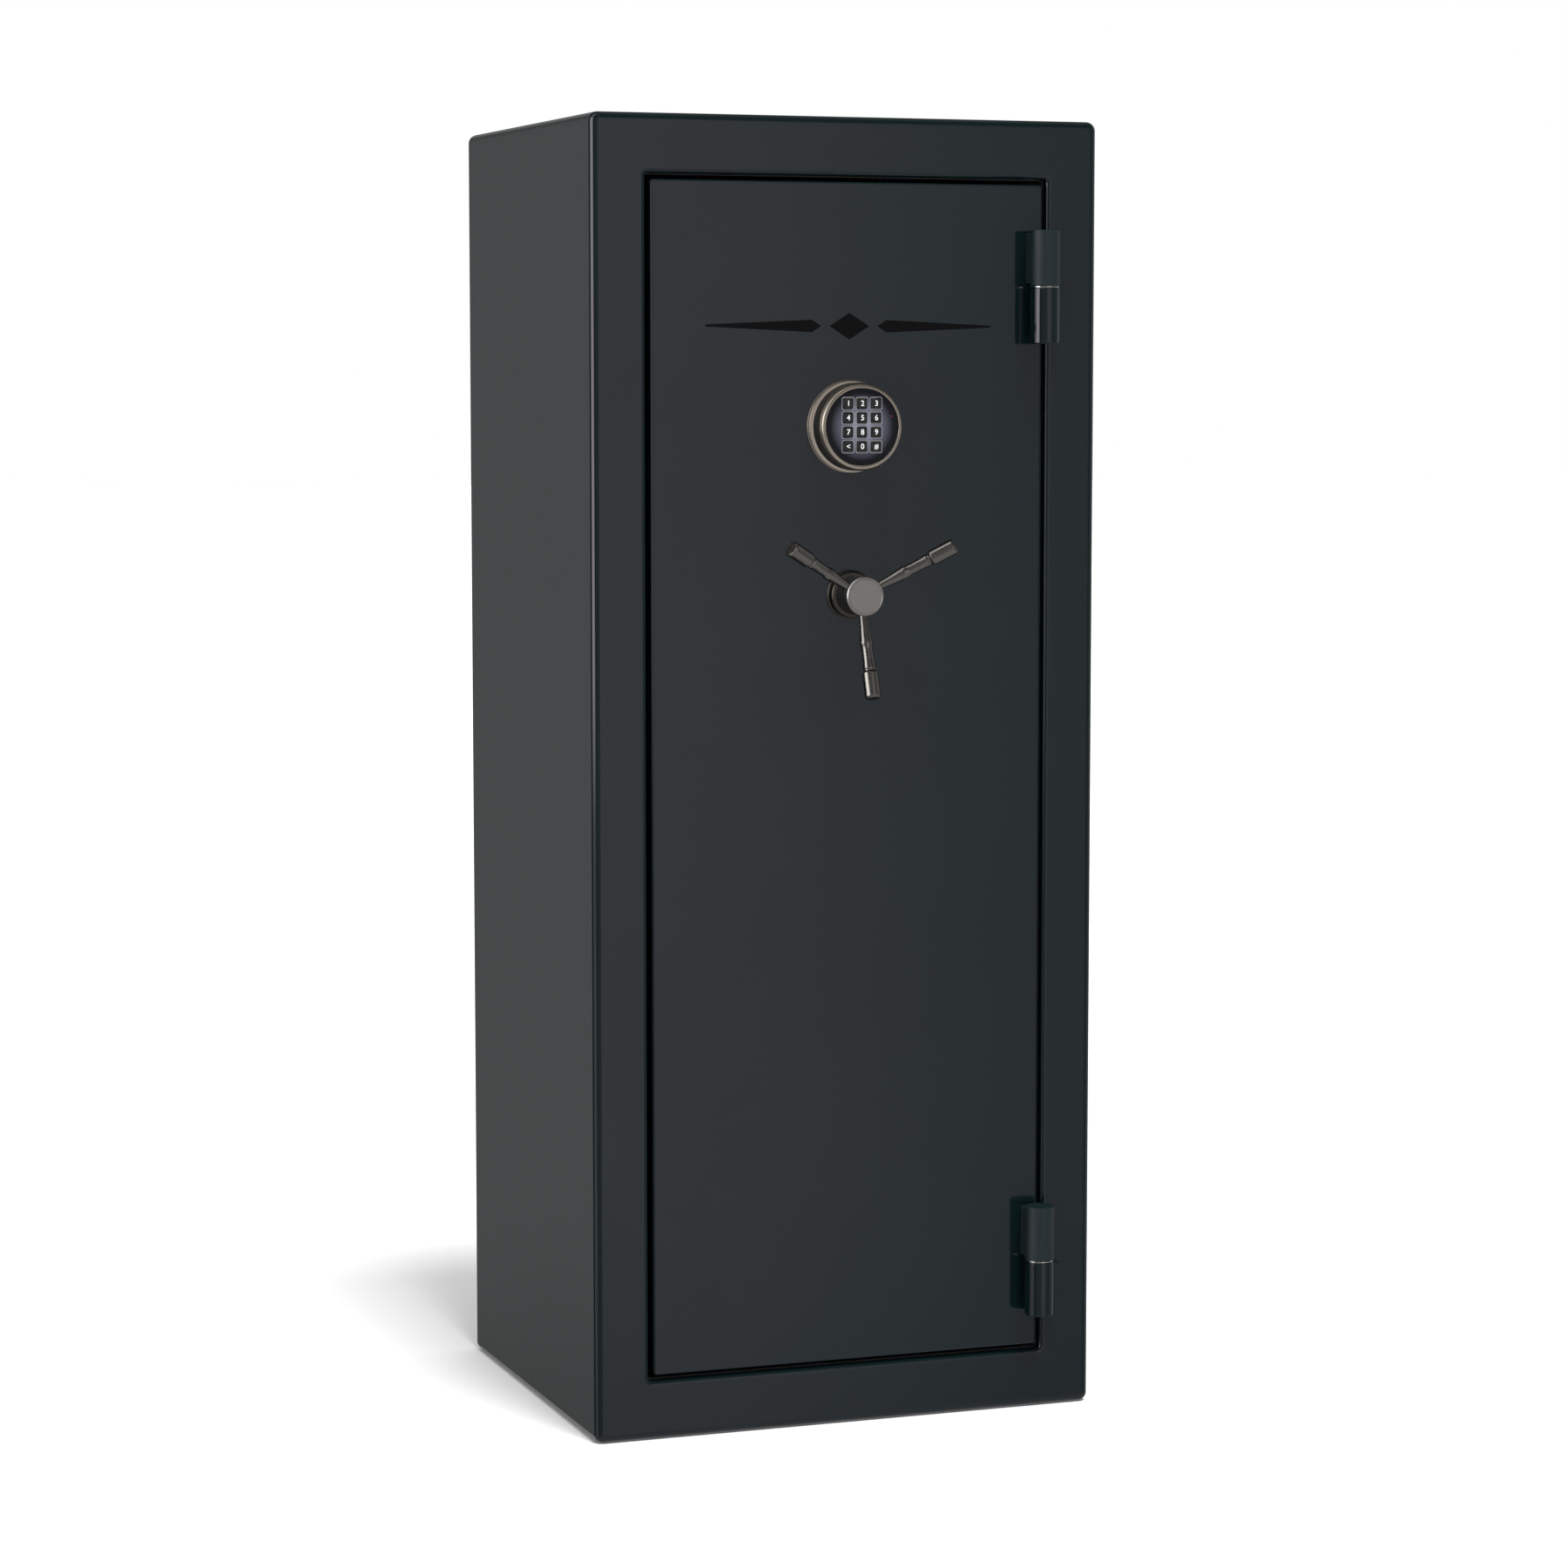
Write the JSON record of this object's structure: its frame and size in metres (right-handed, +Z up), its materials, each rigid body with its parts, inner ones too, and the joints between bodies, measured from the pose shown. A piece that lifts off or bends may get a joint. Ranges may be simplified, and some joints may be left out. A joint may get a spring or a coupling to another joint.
{
  "type": "gun safe",
  "caption": "Upright fire-lined steel gun safe: right-hinged door on outside barrel hinges, spoked handle that throws side bolts, round electronic keypad, carpeted inside with shelf and rack.",
  "frame": {"origin": "centre of the body's footprint, on the floor under it", "axes": "+Z up; the door and the keypad face -Y; +X is to the right of a person who faces the door, on the hinge side"},
  "size_m": [0.6096, 0.5931, 1.4986],
  "materials": {
    "body_paint": "gloss",
    "door_paint": "gloss",
    "frame_paint": "satin",
    "fireboard": "matte",
    "carpet": "matte",
    "door_panel_fabric": "matte",
    "seal_rubber": "matte",
    "zinc_steel": "satin",
    "bolt_steel": "polished",
    "handle_nickel": "satin",
    "keypad_metal": "satin",
    "keypad_plastic": "satin",
    "key_rubber": "matte",
    "lock_metal": "satin",
    "battery_jacket": "gloss"
  },
  "bodies": {
    "cabinet": {"body_shell": "body_paint", "back_panel": "body_paint", "fireboard_sleeve": "fireboard", "fireboard_back": "fireboard", "liner_floor": "carpet", "liner_ceiling": "carpet", "liner_left": "carpet", "liner_right": "carpet", "liner_back": "carpet", "door_seal": "seal_rubber", "shelf": "carpet", "shelf_rail_left": "zinc_steel", "shelf_rail_right": "zinc_steel", "barrel_rack": "carpet", "stock_rest": "carpet", "hinge_upper_body_knuckle": "body_paint", "hinge_lower_body_knuckle": "body_paint", "hinge_upper_pin": "zinc_steel", "hinge_lower_pin": "zinc_steel", "hinge_upper_washer": "bolt_steel", "hinge_lower_washer": "bolt_steel"},
    "door": {"door_skin": "door_paint", "door_fireboard": "fireboard", "hard_plate": "zinc_steel", "bolt_frame": "frame_paint", "door_inner_panel": "door_panel_fabric", "dead_bolt_1": "bolt_steel", "dead_bolt_2": "bolt_steel", "dead_bolt_3": "bolt_steel", "hinge_upper_door_knuckle": "door_paint", "hinge_lower_door_knuckle": "door_paint", "lock_case": "lock_metal", "handle_collar": "handle_nickel", "keypad_base": "keypad_metal", "keypad_housing": "keypad_metal", "keypad_face": "keypad_plastic", "battery": "battery_jacket"},
    "boltwork": {"bolt_bar": "zinc_steel", "live_bolt_1": "bolt_steel", "live_bolt_2": "bolt_steel", "live_bolt_3": "bolt_steel"},
    "lock_bolt": {"lock_bolt": "zinc_steel"},
    "handle": {"handle_hub": "handle_nickel", "handle_spindle": "zinc_steel", "drive_cam": "zinc_steel", "handle_spoke_1": "handle_nickel", "handle_spoke_2": "handle_nickel", "handle_spoke_3": "handle_nickel"},
    "key_1": {"key_1": "key_rubber"},
    "key_2": {"key_2": "key_rubber"},
    "key_3": {"key_3": "key_rubber"},
    "key_4": {"key_4": "key_rubber"},
    "key_5": {"key_5": "key_rubber"},
    "key_6": {"key_6": "key_rubber"},
    "key_7": {"key_7": "key_rubber"},
    "key_8": {"key_8": "key_rubber"},
    "key_9": {"key_9": "key_rubber"},
    "key_back": {"key_back": "key_rubber"},
    "key_0": {"key_0": "key_rubber"},
    "key_enter": {"key_enter": "key_rubber"}
  },
  "joints": [
    {"name": "door_swing", "type": "hinge", "parent": "cabinet", "child": "door", "pos_m": [0.2305, -0.277, 0.7493], "axis": [0, 0, 1], "range_deg": [0, 180]},
    {"name": "handle_turn", "type": "hinge", "parent": "door", "child": "handle", "pos_m": [0, -0.254, 0.961], "axis": [0, -1, 0], "range_deg": [0, 75]},
    {"name": "bolt_throw", "type": "slide", "parent": "door", "child": "boltwork", "axis": [-1, 0, 0], "range_m": [0, 0.0292]},
    {"name": "lock_bolt_throw", "type": "slide", "parent": "door", "child": "lock_bolt", "axis": [0, 0, -1], "range_m": [0, 0.009]},
    {"name": "key_1_press", "type": "slide", "parent": "door", "child": "key_1", "axis": [0, 1, 0], "range_m": [0, 0.001]},
    {"name": "key_2_press", "type": "slide", "parent": "door", "child": "key_2", "axis": [0, 1, 0], "range_m": [0, 0.001]},
    {"name": "key_3_press", "type": "slide", "parent": "door", "child": "key_3", "axis": [0, 1, 0], "range_m": [0, 0.001]},
    {"name": "key_4_press", "type": "slide", "parent": "door", "child": "key_4", "axis": [0, 1, 0], "range_m": [0, 0.001]},
    {"name": "key_5_press", "type": "slide", "parent": "door", "child": "key_5", "axis": [0, 1, 0], "range_m": [0, 0.001]},
    {"name": "key_6_press", "type": "slide", "parent": "door", "child": "key_6", "axis": [0, 1, 0], "range_m": [0, 0.001]},
    {"name": "key_7_press", "type": "slide", "parent": "door", "child": "key_7", "axis": [0, 1, 0], "range_m": [0, 0.001]},
    {"name": "key_8_press", "type": "slide", "parent": "door", "child": "key_8", "axis": [0, 1, 0], "range_m": [0, 0.001]},
    {"name": "key_9_press", "type": "slide", "parent": "door", "child": "key_9", "axis": [0, 1, 0], "range_m": [0, 0.001]},
    {"name": "key_back_press", "type": "slide", "parent": "door", "child": "key_back", "axis": [0, 1, 0], "range_m": [0, 0.001]},
    {"name": "key_0_press", "type": "slide", "parent": "door", "child": "key_0", "axis": [0, 1, 0], "range_m": [0, 0.001]},
    {"name": "key_enter_press", "type": "slide", "parent": "door", "child": "key_enter", "axis": [0, 1, 0], "range_m": [0, 0.001]}
  ],
  "couplings": [
    {"joint": "bolt_throw", "follows": "handle_turn", "m_per_rad": 0.0223}
  ]
}
